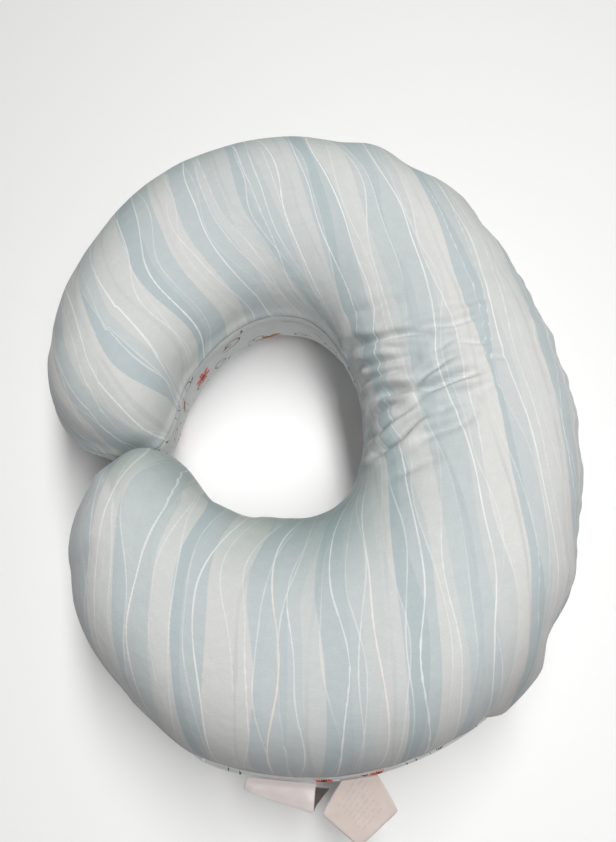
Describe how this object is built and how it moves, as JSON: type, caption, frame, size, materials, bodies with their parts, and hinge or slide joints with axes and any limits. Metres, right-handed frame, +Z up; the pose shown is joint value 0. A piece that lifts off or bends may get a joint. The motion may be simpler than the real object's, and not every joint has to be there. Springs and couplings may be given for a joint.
{
  "type": "nursing pillow",
  "caption": "C-shaped fibre-filled nursing pillow in a zipped cotton slipcover with an elastic-gathered inner seam and sewn-in care labels.",
  "frame": {"origin": "on the resting surface, under the middle of the whole box", "axes": "+Z up from the surface it lies on; +X towards the closed back of the C, so its mouth faces -X; one arm lies on each side, the zipped one at -Y"},
  "size_m": [0.3914, 0.5494, 0.1522],
  "materials": {
    "front_cotton": "matte",
    "back_cotton": "matte",
    "casing_cloth": "matte",
    "fibre": "matte",
    "elastic_tape": "matte",
    "zip_tape": "matte",
    "zip_nylon": "satin",
    "zip_enamel": "satin",
    "label_satin": "satin",
    "label_woven": "matte"
  },
  "bodies": {
    "near_arm": {"cover_front_near": "front_cotton", "cover_back_near": "back_cotton", "casing_front_near": "casing_cloth", "casing_back_near": "casing_cloth", "fibre_fill_near": "fibre", "seam_elastic_near": "elastic_tape", "zipper_tape_front": "zip_tape", "zipper_tape_back": "zip_tape", "zipper_coil_front": "zip_nylon", "zipper_coil_back": "zip_nylon", "zipper_bottom_stop": "zip_enamel", "zipper_top_stop_front": "zip_enamel", "zipper_top_stop_back": "zip_enamel"},
    "far_arm": {"cover_front_far": "front_cotton", "cover_back_far": "back_cotton", "casing_front_far": "casing_cloth", "casing_back_far": "casing_cloth", "fibre_fill_far": "fibre", "seam_elastic_far": "elastic_tape"},
    "slider": {"zipper_slider": "zip_enamel"},
    "pull_tab": {"zipper_pull_tab": "zip_enamel"},
    "satin_label": {"care_label_satin": "label_satin"},
    "woven_label": {"care_label_woven": "label_woven", "care_label_woven_ply": "label_woven"}
  },
  "joints": [
    {"name": "arm_spread", "type": "hinge", "parent": "near_arm", "child": "far_arm", "pos_m": [0.1962, 0.02244, 0.079], "axis": [0, 0, -1], "range_deg": [0, 25], "stiffness_Nm_per_rad": 7},
    {"name": "slider_travel", "type": "hinge", "parent": "near_arm", "child": "slider", "pos_m": [-0.01051, -0.02588, 0.0793], "axis": [0, 0, -1], "range_deg": [0, 64]},
    {"name": "pull_swing", "type": "hinge", "parent": "slider", "child": "pull_tab", "pos_m": [0.11309, -0.1899, 0.08107], "axis": [-0.3009, 0.3993, 0.866], "range_deg": [0, 175]},
    {"name": "satin_label_flap", "type": "hinge", "parent": "near_arm", "child": "satin_label", "pos_m": [-0.06254, -0.22707, 0.07378], "axis": [0.9681, -0.2504, 0], "range_deg": [-25, 35], "stiffness_Nm_per_rad": 0.002},
    {"name": "woven_label_flap", "type": "hinge", "parent": "near_arm", "child": "woven_label", "pos_m": [-0.01413, -0.23365, 0.07378], "axis": [0.9998, -0.0175, 0], "range_deg": [-25, 35], "stiffness_Nm_per_rad": 0.002}
  ]
}
